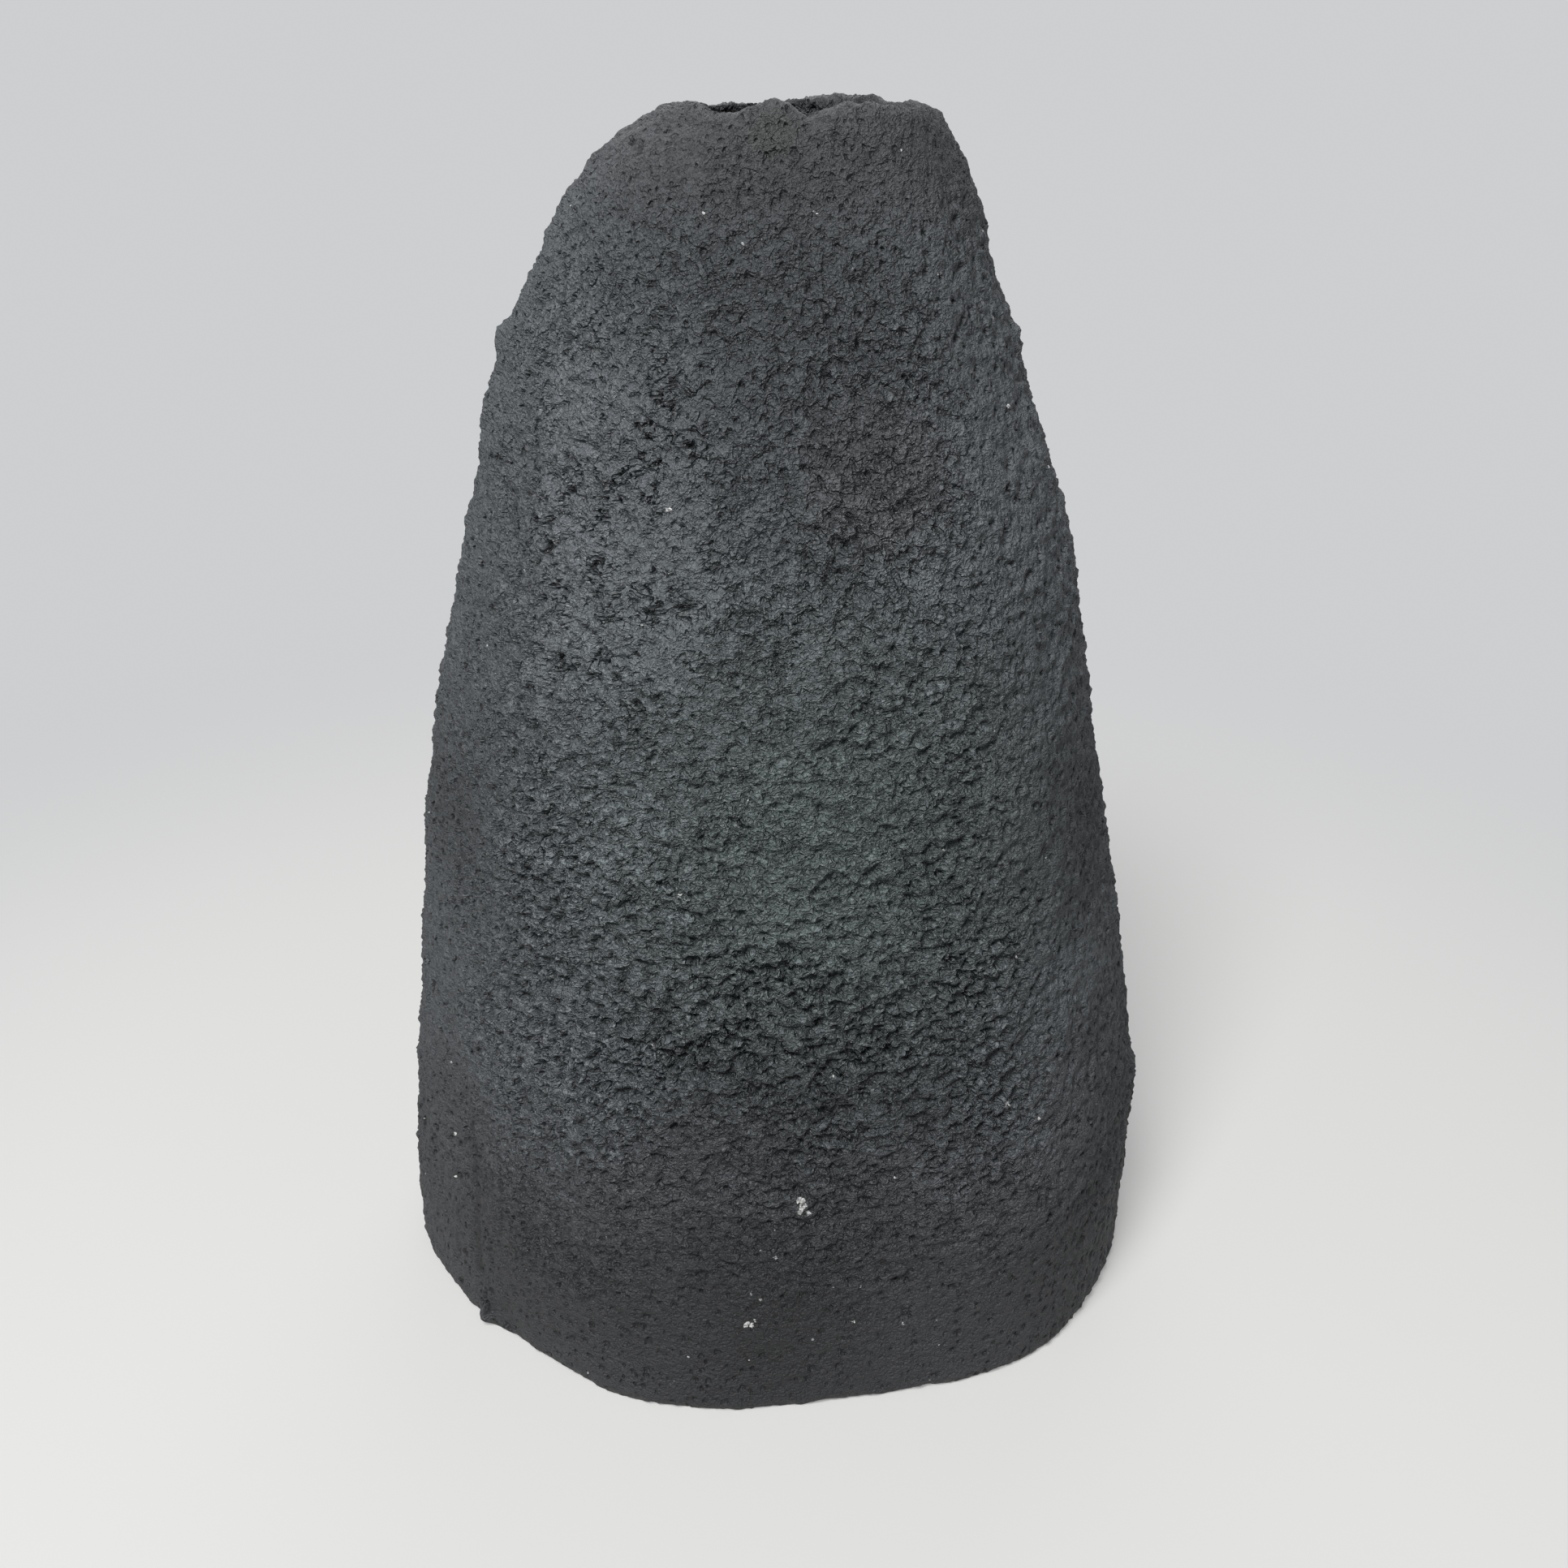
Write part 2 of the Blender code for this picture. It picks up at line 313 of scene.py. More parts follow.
class Surface:
    """The place of each point of a surface, and patterns that are read at it."""

    def __init__(self, tree, place):
        self.tree, self.place = tree, place

    def axis(self, name):
        node = box(self.tree, "ShaderNodeSeparateXYZ", {"Vector": self.place})
        return Field(self.tree, node.outputs[name])

    def stretched(self, x, y, z, tilt=0):
        place = self.place
        if tilt:
            place = box(self.tree, "ShaderNodeVectorRotate", {"Vector": place, "Angle": math.radians(tilt)},
                        rotation_type="Y_AXIS").outputs[0]
        node = box(self.tree, "ShaderNodeVectorMath", {0: place, 1: (1 / x, 1 / y, 1 / z)},
                   operation="MULTIPLY")
        return Surface(self.tree, node.outputs[0])

    def moved(self, x, y, z):
        node = box(self.tree, "ShaderNodeVectorMath", {0: self.place, 1: (x, y, z)}, operation="ADD")
        return Surface(self.tree, node.outputs[0])

    def noise(self, size, detail=2, rough=0.5, warp=0):
        """Soft random lumps of about that size; the value swings round 0."""
        inputs = {"Vector": self.place, "Scale": 1 / size, "Detail": detail, "Roughness": rough,
                  "Distortion": warp}
        node = box(self.tree, "ShaderNodeTexNoise", inputs, normalize=False)
        return Field(self.tree, node.outputs[0])

    def cells(self, size):
        """Scattered points about that far apart: the distance to the nearest, and a chance from 0 to 1."""
        node = box(self.tree, "ShaderNodeTexVoronoi", {"Vector": self.place, "Scale": 1 / size})
        return Field(self.tree, node.outputs["Distance"]) * size, Field(self.tree, node.outputs["Color"])

    def wobbled(self, size, reach):
        """The same place, shaken about by up to that reach: round and straight things come out ragged."""
        shake = box(self.tree, "ShaderNodeTexNoise", {"Vector": self.place, "Scale": 1 / size, "Detail": 1})
        spread = box(self.tree, "ShaderNodeVectorMath", {0: shake.outputs["Color"], 1: (0.5, 0.5, 0.5)},
                     operation="SUBTRACT").outputs[0]
        node = box(self.tree, "ShaderNodeVectorMath", {0: spread, 1: (2 * reach,) * 3, 2: self.place},
                   operation="MULTIPLY_ADD")
        return Surface(self.tree, node.outputs[0])

    def from_line(self, start, end):
        """The distance from a straight line between two points of the vase."""
        along = Vector(end) - Vector(start)
        reach = box(self.tree, "ShaderNodeVectorMath", {0: self.place, 1: start},
                    operation="SUBTRACT").outputs[0]
        share = box(self.tree, "ShaderNodeVectorMath", {0: reach, 1: along / along.length_squared},
                    operation="DOT_PRODUCT").outputs["Value"]
        share = Field(self.tree, share).math("MAXIMUM", 0).math("MINIMUM", 1)
        foot = box(self.tree, "ShaderNodeVectorMath", {0: along, "Scale": share},
                   operation="SCALE").outputs[0]
        node = box(self.tree, "ShaderNodeVectorMath", {0: reach, 1: foot}, operation="DISTANCE")
        return Field(self.tree, node.outputs["Value"])

    def from_point(self, centre):
        node = box(self.tree, "ShaderNodeVectorMath", {0: self.place, 1: centre}, operation="DISTANCE")
        return Field(self.tree, node.outputs["Value"])

    def near(self, centre, reach):
        """1 at a point of the vase, falling to 0 at that reach."""
        return self.from_point(centre).ramp(reach, 0)


print("fields ready")

# %% [markdown]
# ## Torn clay
# The slabs are coarse, grogged clay that was torn while it was soft, and then pressed flat again. The front
# and back are plates one to three millimetres across, with ragged gaps between them and a raised lip at each
# gap, and short and long tears cross them. The sides were wiped: they are smoother, with round pits and
# upright drag marks. Noise gives all of these. Where it lies above a limit the clay is a flat plate, and
# below it a gap. A tear runs where a second noise passes zero, with a lip on one side and a hollow on the
# other.

# %% Patterns of torn and wiped clay
MM = 0.001
GRAIN_CLIMBS = 9
PULLED_ROUND, PULLED_UP = 0.72, 1.02
TALLER_ABOVE, TALLER_BY = 0.165, 0.32
CRUMB, SMALL_CRUMB = 1.55 * MM, 0.85 * MM
BIG_PLATE, PLATE, SMALL_PLATE = 2.9 * MM, 1.7 * MM, 0.95 * MM
GAP_BELOW, EDGE_AT, EDGE_REACH = -0.14, 0.02, 0.16
LONG_TEAR, SHORT_TEAR = (4.2 * MM, 1.1), (2.0 * MM, 0.9)
TEAR_STEP, LIP_REACH, HOLLOW_REACH = 0.03, 0.30, 0.20


def drawn_out(surface):
    """The surface as it is pulled: patterns read on it come out wide, and near the mouth as tall as wide."""
    height = surface.axis("Z")
    drawn = box(surface.tree, "ShaderNodeCombineXYZ")
    for name in ("X", "Y"):
        wire(surface.tree, surface.axis(name) * PULLED_ROUND, drawn.inputs[name])
    upper = (height - TALLER_ABOVE).math("MAXIMUM", 0)
    wire(surface.tree, height * PULLED_UP - upper * TALLER_BY, drawn.inputs["Z"])
    return Surface(surface.tree, drawn.outputs[0]).stretched(1, 1, 1, tilt=GRAIN_CLIMBS)


def tears(surface, size, warp):
    """Crooked tears: how high the lip stands beside one and how deep the hollow is, each 0 to 1."""
    pulled = surface.moved(0, size * 40, size * 70).stretched(1.25, 1.25, 0.85, tilt=GRAIN_CLIMBS)
    line = pulled.noise(size, 2, 0.6, warp)
    here = surface.moved(size * 90, 0, 0.1).noise(size * 1.6, 1).ramp(-0.10, 0.20)
    lip = line.ramp(-TEAR_STEP, TEAR_STEP) * line.ramp(LIP_REACH, 0.0)
    hollow = line.ramp(TEAR_STEP, -TEAR_STEP) * line.ramp(-HOLLOW_REACH, -TEAR_STEP)
    return lip * here, hollow * here


def plates(surface, size, soft=1):
    """Torn clay that was pressed flat: 0 on the plates and -1 in the ragged gaps, and the lip between."""
    rough = drawn_out(surface).moved(0.2, size * 30, 0).noise(size, 1.4, 0.5, 0.8)
    gap = rough.ramp(GAP_BELOW + 0.10 * soft, GAP_BELOW - 0.12 * soft)
    return gap * -1, rough.near_value(EDGE_AT, EDGE_REACH)


def crumbs(surface, size):
    """Round crumbs of clay about that size, some higher than others, with sharp creases between them."""
    ragged = drawn_out(surface).moved(0.2, 0.1, 0).wobbled(size * 0.9, size * 0.45)
    distance, chance = ragged.cells(size)
    dome = (distance * (1.1 / size)).math("POWER", 2).flipped()
    return dome * (chance * 0.9 + 0.35)


def round_pits(surface, reach, gap, chance_from):
    distance, chance = surface.cells(gap)
    return distance.ramp(reach, reach * 0.45) * chance.ramp(chance_from, chance_from + 0.08)


def pits(surface):
    """Bubbles and pulled-out grit: large round pits, and small upright pricks."""
    ragged = surface.wobbled(0.9 * MM, 0.35 * MM)
    return (round_pits(ragged.stretched(1, 1, 1.2), 0.85 * MM, 2.4 * MM, 0.46),
            round_pits(ragged.moved(0.2, 0.2, 0.2).stretched(0.85, 0.85, 1.6), 0.45 * MM, 1.5 * MM, 0.42))


print("patterns ready")

# %% [markdown]
# Where is the clay torn, and where was it wiped? The way a point faces tells: the front and back are torn,
# the flanks wiped. The tearing dies out towards the foot and the mouth, and it is coarsest at the upper left.

# %% Zones of torn and wiped clay
TORN_AT_FOOT = ((-0.042, -0.056, 0.036), 0.036, 0.6)
RUBBED = [((0.008, -0.038, 0.208), 0.060, 0.45), ((0.014, -0.053, 0.138), 0.045, 0.35)]

relief = bpy.data.node_groups.new("torn clay", "GeometryNodeTree")
for way in ("INPUT", "OUTPUT"):
    relief.interface.new_socket("Geometry", in_out=way, socket_type="NodeSocketGeometry")
clay = Surface(relief, relief.nodes.new("GeometryNodeInputPosition").outputs[0])
facing = Surface(relief, relief.nodes.new("GeometryNodeInputNormal").outputs[0])
height, side = clay.axis("Z"), facing.axis("X")

front_and_back = side.ramp(-0.90, -0.62) * side.ramp(0.86, 0.25)
torn = front_and_back * (height + clay.noise(30 * MM) * 0.012).ramp(0.002, 0.090)
centre, reach, share = TORN_AT_FOOT
torn = torn.math("MAXIMUM", clay.near(centre, reach) * share)
torn = torn * (clay.noise(22 * MM) * 0.35 + 0.95) * (height.ramp(0.205, 0.238) * -0.75 + 1)
for centre, reach, share in RUBBED:
    torn = torn * (clay.near(centre, reach) * -share + 1)
left_half = side.ramp(-0.85, -0.6) * side.ramp(0.2, -0.15)
coarse = left_half * height.ramp(0.125, 0.165) * height.ramp(0.232, 0.205)
wiped = torn.flipped() * height.ramp(0.252, 0.235)
calm = (height.ramp(0.225, 0.243) * -0.45 + 1) * (height.ramp(0.040, 0.015) * -0.40 + 1)
print("zones: torn, coarse, wiped and calm, from", len(relief.nodes), "nodes")

# %% [markdown]
# Some marks are too plain to leave to chance: the nubs on the outline, the straight cut at the lower left
# of the foot, the joint where the left slab was pressed under the front one, a few long tears, curled tears
# and holes. Each is listed in millimetres: a bulge as a place, a reach and a height, a groove as two
# ends, a reach and a depth, and a curl or a hole as a place and a radius.

# %% Marks listed one by one
BULGES = [
    ((-29, -3, 243), 15, 0.3), ((-31, -4, 241), 4, 0.6), ((-37, -2, 234), 4, 0.4),
    ((-50, -3, 209.5), 4.5, 2.0), ((-59, -5, 174), 5, 0.8), ((-64, -5, 152), 5, 0.4),
    ((40, -2, 230), 5, 0.6), ((48, -4, 209.5), 4.5, 1.2), ((82, -13, 48), 9, 1.0),
    ((-28, -63, 1), 12, 0.5), ((-57, -47, 4), 9, -0.9), ((-63, -42.5, 2.5), 3.0, 2.1),
    ((-8, 20, 250), 20, -0.8), ((26, 8, 250), 10, -0.2), ((-22, -3, 250), 9, -1.7),
    ((11, 20, 250), 12, 1.0), ((20, 16, 250), 9, 0.8), ((1.5, -20, 250), 6, 1.0), ((18, -19, 250), 12, 1.0),
    ((-12, -19, 250), 13, -1.9), ((8.5, -21, 250), 5, -1.4), ((-18, -13, 250), 7, -0.8),
]
GROOVES = [
    ((-62.0, -42.8, 8.5), (-62.6, -42.6, 4.0), 1.5, 1.2), ((-62, -38, 52), (-63.5, -41, 14), 3.6, 0.55),
    ((-22.5, -38, 202.3), (-18, -39.5, 202), 0.75, 0.9), ((-27, -37, 198.6), (-22, -38.5, 199.6), 0.75, 1.0),
    ((-20, -40.5, 195.5), (-14, -42, 196), 0.7, 0.8), ((-12, -42.5, 197.5), (-8, -42, 199.5), 0.7, 0.8),
    ((-33, -27, 211), (-29.5, -30, 211.6), 0.8, 0.9), ((-42, -44, 135.5), (-41.5, -44.5, 139), 0.9, 1.1),
    ((-38.5, -41, 157), (-36, -43, 159.5), 0.9, 0.8), ((-41, -38.5, 159.5), (-38.5, -41, 157), 0.8, 0.8),
    ((-16, -33, 226), (-11, -34.5, 226.4), 0.7, 0.6), ((-26, -45, 170), (-21, -46.5, 171), 0.7, 0.7),
]
CURLS = [
    ((-37.9, -41.7, 157.9), 1.7), ((-39.7, -35.3, 178.5), 2.2), ((-42.4, -33.8, 168.2), 1.3),
    ((-33.9, -41.3, 175.3), 1.3), ((-40.8, -41.8, 151.9), 1.5), ((-44.3, -41.0, 145.0), 1.4),
    ((-43.4, -27.1, 186.7), 1.8), ((-28.7, -38.4, 190.3), 1.3), ((-42.5, -33.4, 174.1), 1.2),
    ((-35.3, -34.1, 193.7), 1.5),
]
HOLES = [
    ((-40.7, -48.8, 127.9), 1.0), ((-42.4, -30.7, 183.3), 1.2), ((-38.0, -35.7, 181.9), 1.1),
    ((-34.6, -35.4, 187.5), 0.9), ((-40.2, -42.5, 150.6), 1.1),
]
CURL_DEPTH, CURL_WIDTH, HOLE_DEPTH = 0.9 * MM, 0.65 * MM, 1.3 * MM

bulge = None
for centre, reach, rise in BULGES:
    swelling = clay.near([v * MM for v in centre], reach * MM) * (rise * MM)
    bulge = swelling if bulge is None else bulge + swelling
crooked = clay.wobbled(5 * MM, 1.6 * MM).wobbled(1.6 * MM, 0.7 * MM)
tear = None
for start, end, reach, depth in GROOVES:
    gap = crooked.from_line([v * MM for v in start], [v * MM for v in end]).ramp(reach * MM, 0) * (depth * MM)
    tear = gap if tear is None else tear.math("MAXIMUM", gap)
shaken = clay.wobbled(1.8 * MM, 0.5 * MM)
for centre, radius in CURLS:
    away = shaken.from_point([v * MM for v in centre])
    lower_half = height.ramp((centre[2] + 0.6 * radius) * MM, (centre[2] - 0.4 * radius) * MM)
    tear = tear.math("MAXIMUM", away.near_value(radius * MM, CURL_WIDTH) * lower_half * CURL_DEPTH)
for centre, radius in HOLES:
    away = shaken.from_point([v * MM for v in centre])
    tear = tear.math("MAXIMUM", away.ramp(radius * MM, 0.4 * radius * MM) * HOLE_DEPTH)
print("marks:", len(BULGES), "bulges,", len(GROOVES), "grooves,", len(CURLS), "curls,", len(HOLES), "holes")

# %% [markdown]
# The heights are added up, and a Geometry Nodes modifier moves each point of the skin along its own normal.
# It also writes down what the finish needs: how far down in the crevices a point lies, for the shade painted
# there, how torn and how coarse the clay is there, whether the point is inside the mouth, and where it was
# before it moved.

# %% Sum up the relief
SOFT_GAPS = 2
PIT_LINE_HEIGHT = 0.2432

swell = clay.noise(34 * MM, 1) * (0.20 * MM) + clay.noise(11 * MM, 1) * (0.28 * MM)
swell = swell + clay.noise(4.5 * MM, 1) * (abs(side).ramp(0.5, 0.85) * 0.14 * MM + 0.20 * MM)
plate, edge = plates(clay, PLATE, SOFT_GAPS)
big_plate, big_edge = plates(clay, BIG_PLATE, SOFT_GAPS)
grain = (plate + edge * 0.28) * (torn + coarse * -0.50 + 0.10)
grain = grain + crumbs(clay, CRUMB) * (torn * 0.25 + 0.06)
grain = grain + (big_plate * 0.80 + big_edge * 0.26) * (torn * 0.60 + coarse * 0.10)
gritty = torn * -0.25 + abs(side).ramp(0.55, 0.80) * 0.25 + 0.45
grit = clay.moved(0.3, 0.1, 0).noise(2.6 * MM, 3, 0.65) * gritty

long_lip, long_hollow = tears(clay, *LONG_TEAR)
short_lip, short_hollow = tears(clay, *SHORT_TEAR)
lips = long_lip * (coarse * 0.60 + torn * 0.15) * MM + short_lip * (torn * 0.22 * MM)
crack = (long_hollow * (coarse * 1.1 + torn * 0.20) * MM).math("MAXIMUM", short_hollow * (torn * 0.45 * MM))

pit, prick = pits(clay)
calm_mouth = height.ramp(0.215, 0.238) * -0.6 + 1
pit = pit * calm_mouth * (torn * -0.60 + 0.70) * MM
prick = prick * (torn * -0.45 + 0.65) * MM
dragged = side.ramp(-0.60, -0.85) * 0.22 + height.ramp(0.215, 0.240) * 0.28 + 0.06
drag = clay.stretched(1, 1, 10).noise(1.3 * MM, 2, 0.6) * wiped * dragged * MM

lip = height.ramp(0.2462, 0.2495)
chips = clay.stretched(1, 1, 3).noise(6 * MM, 3, 0.6) * lip * (0.9 * MM)
wavy_height = height + clay.noise(9 * MM, 1) * (2 * MM)
under_rim = wavy_height.near_value(PIT_LINE_HEIGHT, 1.3 * MM) * clay.axis("X").ramp(0.010, -0.002)
pitted = clay.moved(0.7, 0, 0).noise(2.2 * MM, 2).ramp(-0.1, 0.3)
pit_line = under_rim * pitted * facing.axis("Y").ramp(0, -0.4) * (0.7 * MM)
towards_axis = (clay.axis("X") - 0.002) * side + clay.axis("Y") * facing.axis("Y")
inner = towards_axis.ramp(0.000, -0.008) * height.ramp(0.236, 0.240)

hollow = crack.math("MAXIMUM", tear).math("MAXIMUM", pit_line) + pit * calm + prick * calm
offset = swell + bulge + (grain + grit) * (calm * MM) + lips + drag + chips - hollow
# Pits on the left side and the deeper tears and cracks are noted for painted shade: the finish darkens the
# clay there.
left_pit = pit * side.ramp(-0.55, -0.80) * 1.7
crevice_shade = tear.math("MAXIMUM", pit_line).math("MAXIMUM", crack * 0.5).math("MAXIMUM", left_pit)
crevice_shade = crevice_shade.ramp(0.10 * MM, 0.90 * MM)
print("relief nodes", len(relief.nodes))

# %% [markdown]
# The foot stays on the table: no point is pushed below height 0.

# %% Move the skin
NOTES = [
    ("crevice_shade", "FLOAT", crevice_shade), ("torn", "FLOAT", torn), ("coarse", "FLOAT", coarse),
    ("inner", "FLOAT", inner), ("rest", "FLOAT_VECTOR", clay.place),
]
TABLE = (-1, -1, 0)

stored = relief.nodes.new("NodeGroupInput").outputs[0]
for name, kind, value in NOTES:
    stored = box(relief, "GeometryNodeStoreNamedAttribute", {"Geometry": stored, "Name": name},
                 data_type=kind, domain="POINT")
    wire(relief, value, stored.inputs["Value"])
    stored = stored.outputs[0]
push = box(relief, "ShaderNodeVectorMath", {0: facing.place, "Scale": offset}, operation="SCALE").outputs[0]
pushed = box(relief, "ShaderNodeVectorMath", {0: clay.place, 1: push}, operation="ADD").outputs[0]
above = box(relief, "ShaderNodeVectorMath", {0: pushed, 1: TABLE}, operation="MAXIMUM").outputs[0]
rough_skin = box(relief, "GeometryNodeSetPosition", {"Geometry": stored, "Position": above}).outputs[0]
relief.links.new(rough_skin, relief.nodes.new("NodeGroupOutput").inputs[0])

before = corners(skin.data)
apply_modifier(skin, "torn clay", "NODES", node_group=relief)
shift = np.linalg.norm(corners(skin.data) - before, axis=1)
print("skin moved by mm: mean", round(float(shift.mean()) / MM, 2), "most", round(float(shift.max()) / MM, 2),
      "seconds", round(time.time() - started, 1))

# %% [markdown]
# ## Quartz grains
# White grains of quartz sit in the clay and show where the skin was dragged off them. A grain starts as a
# ball of twenty faces, is pressed flat, shaken out of round, and set into the skin at the nearest point to
# its place. The plain ones are listed, as a place, a width and a height in millimetres, and each is a
# cluster of crumbs. Single ones are strewn over the whole vase by a seeded dice.

# %% Quartz grains, placed and strewn
GRAINS = [
    ((7.6, -65.1, 52.2), 2.2, 3.6), ((8.6, -65, 50.4), 1.3, 1.2), ((-3.4, -66.6, 23.1), 2.0, 1.6),
    ((-2.0, -66.6, 24.0), 0.9, 1.0), ((-3.0, -66.5, 30.8), 0.8, 1.0), ((-1.2, -66.5, 29.4), 0.9, 0.8),
    ((2.0, -66.0, 39.8), 0.9, 1.2), ((25.7, -62.3, 56.5), 1.0, 1.1), ((47.9, -54.6, 68.8), 0.9, 1.3),
    ((46.8, -55.3, 67.6), 0.8, 0.8), ((-15.3, -59.1, 118.1), 1.0, 1.0), ((-14.2, -59.3, 117.4), 0.9, 0.9),
    ((9.0, -29.8, 234.0), 1.1, 0.8), ((-3.3, -32.3, 229.0), 0.8, 1.1), ((-0.1, -32.0, 229.9), 0.6, 0.6),
    ((37.1, -42.4, 163.5), 0.9, 0.7), ((-16.3, -43.8, 186.3), 1.3, 0.8), ((-44.5, -30.7, 171.1), 0.6, 0.6),
    ((-35.3, -40.1, 167.8), 0.6, 0.5), ((-21.6, -47.6, 166.2), 0.7, 0.8), ((-33.6, -43.7, 159.6), 0.7, 0.5),
    ((-16.8, -47.2, 172.4), 0.7, 0.9), ((42.6, -44.1, 144.8), 0.6, 0.8), ((-3.4, -66.7, 13.8), 0.7, 0.8),
    ((19.2, -64.4, 31.1), 0.7, 0.8), ((18, -65, 22), 0.7, 0.7), ((28, -62, 20), 0.7, 0.9),
]
LARGE, CRUMBS_IN_LARGE, CRUMBS_IN_SMALL = 1.15, 9, 3
CRUMB_SHARE, CRUMB_SPREAD = (0.38, 0.62), 0.36
PRESSED_FLAT, SHAKEN, SHAKES = 0.55, 0.17, 97
STREWN, STREWN_SIZE = 54, (0.45, 0.95)
HIGHEST = 0.234

bpy.context.view_layer.update()
dice = random.Random(11)
grains = []


def set_grain(place, width, tall):
    _, spot, normal, _ = skin.closest_point_on_mesh(place)
    turn = normal.to_track_quat("Z", "Y").to_euler()
    flat = PRESSED_FLAT * min(width, tall)
    bpy.ops.mesh.primitive_ico_sphere_add(subdivisions=1, radius=MM / 2, location=spot, rotation=turn,
                                          scale=(width, tall, flat))
    bpy.ops.object.mode_set(mode="EDIT")
    bpy.ops.transform.vertex_random(offset=SHAKEN * MM * flat * 2, uniform=0, normal=0,
                                    seed=len(grains) % SHAKES)
    leave()
    grains.append(bpy.context.object)


for place, width, tall in GRAINS:
    pieces = CRUMBS_IN_LARGE if max(width, tall) > LARGE else CRUMBS_IN_SMALL
    for _ in range(pieces):
        aside = Vector([dice.uniform(-CRUMB_SPREAD, CRUMB_SPREAD) * v for v in (width, 0, tall)])
        piece = dice.uniform(*CRUMB_SHARE)
        set_grain((Vector(place) + aside) * MM, width * piece, tall * piece * dice.uniform(0.7, 1))
middles, _ = face_facts(skin.data)
outside = middles[middles[:, 2] < HIGHEST]
for _ in range(STREWN):
    place = Vector(outside[dice.randrange(len(outside))])
    set_grain(place, dice.uniform(*STREWN_SIZE), dice.uniform(*STREWN_SIZE))
pick(*grains)
bpy.ops.object.transform_apply(location=True, rotation=True, scale=True)
bpy.ops.object.join()
quartz = bpy.context.object
quartz.name = "quartz_grains"
print("quartz grains", len(grains), "faces", len(quartz.data.polygons),
      "seconds", round(time.time() - started, 1))

# %% [markdown]
# ## Part the skin into slabs again
# Separate by Material parts the skin along the joints. Each part is only a sheet, and a slab of clay has a
# back. A wall's back is the inner side of its CAD slab: the two rims of sheet and back are joined with
# Bridge Edge Loops, so the slab is closed. The seams are marked sharp, so that the light on the skin isn't
# bent by the cut faces behind it.

# %% Part the skin, close the walls and the rim
edit(skin, FACE)
bpy.ops.mesh.select_all(action="SELECT")
bpy.ops.mesh.separate(type="MATERIAL")
leave()
slabs = {obj.data.materials[0].name: obj for obj in bpy.context.selected_objects}


def open_edges(obj):
    """Which edges belong to one face only."""
    mesh = obj.data
    used = np.empty(len(mesh.loops), np.int32)
    mesh.loops.foreach_get("edge_index", used)
    return np.bincount(used, minlength=len(mesh.edges)) == 1


def mark_open_edges_sharp(obj):
    pick_edges(obj, open_edges(obj))
    bpy.ops.mesh.mark_sharp()
    leave()


def bridge_open_edges(obj):
    pick_edges(obj, open_edges(obj))
    bpy.ops.mesh.bridge_edge_loops()
    leave()


def inside_of(node):
    sheet = merged_copy(node)
    middles, normals = face_facts(sheet.data)
    away = middles[:, :2] / np.linalg.norm(middles[:, :2], axis=1, keepdims=True)
    pick_faces(sheet, (normals[:, :2] * away).sum(axis=1) > -FACES_OUT)
    bpy.ops.mesh.delete(type="FACE")
    leave()
    sheet.data.materials.clear()
    return sheet


for node in WALLS:
    slab = slabs[node]
    mark_open_edges_sharp(slab)
    back = inside_of(node)
    pick(slab, back)
    bpy.ops.object.join()
    bridge_open_edges(slab)
rim = slabs["rim_coil"]
mark_open_edges_sharp(rim)
bridge_open_edges(rim)
print("open edges left", {n: int(open_edges(slabs[n]).sum()) for n in [*WALLS, "rim_coil"]})

# %% [markdown]
# The floor slab shows its edge and, when the vase is lifted, its underside. Its two open rims are closed by
# extruding them inwards in rings, scaled a little each time, down to a point in the middle.

# %% Close the floor slab
RINGS = (0.97, 0.85, 0.6, 0.3)
HALF_UP = 0.005

foot = slabs["floor_slab"]
mark_open_edges_sharp(foot)
for upper in (False, True):
    middles, _ = edge_facts(foot.data)
    wanted = open_edges(foot) & ((middles[:, 2] > HALF_UP) == upper)
    pick_edges(foot, wanted)
    last = 1
    for ring in RINGS:
        bpy.ops.mesh.extrude_edges_move()
        flat = 1 if upper else 0
        bpy.ops.transform.resize(value=(ring / last, ring / last, flat), center_override=(0, 0, 0))
        last = ring
    bpy.ops.mesh.extrude_edges_move()
    bpy.ops.mesh.merge(type="CENTER")
    leave()
print("floor slab faces", len(foot.data.polygons), "open edges", int(open_edges(foot).sum()))

# %% [markdown]
# The points that were made while the slabs were closed have no place from before the relief, so each gets
# its own place. Then all faces are turned outwards and shaded smooth.

# %% Settle the new points and turn the faces out
FARTHEST_MOVE = 0.004


def settle_new_points(mesh):
    """Give the points that have no place from before the relief their own place, and count them."""
    now = corners(mesh)
    rest = np.empty(len(now) * 3, np.float32)
    mesh.attributes["rest"].data.foreach_get("vector", rest)
    rest = rest.reshape(-1, 3)
    new = np.linalg.norm(rest - now, axis=1) > FARTHEST_MOVE
    rest[new] = now[new]
    mesh.attributes["rest"].data.foreach_set("vector", rest.ravel())
    return int(new.sum())


for node, obj in slabs.items():
    edit(obj, FACE)
    bpy.ops.mesh.select_all(action="SELECT")
    bpy.ops.mesh.normals_make_consistent(inside=False)
    leave()
    bpy.ops.object.shade_smooth()
    print(node, "new points", settle_new_points(obj.data))
print("triangles", {n: sum(len(f.vertices) - 2 for f in o.data.polygons) for n, o in slabs.items()},
      "seconds", round(time.time() - started, 1))

# %% [markdown]
# ## The glaze inside
# Coarse stoneware seeps, so the inside of a vase is glazed. The liner is a copy of its CAD node, smoothed
# with Subdivision Surface. A thin glaze pulls back from the mouth and runs down in slow waves, which a
# Displace modifier with a cloud texture gives.

# %% Glaze liner
WAVE_LENGTH, WAVE_HEIGHT = 0.012, 0.0002

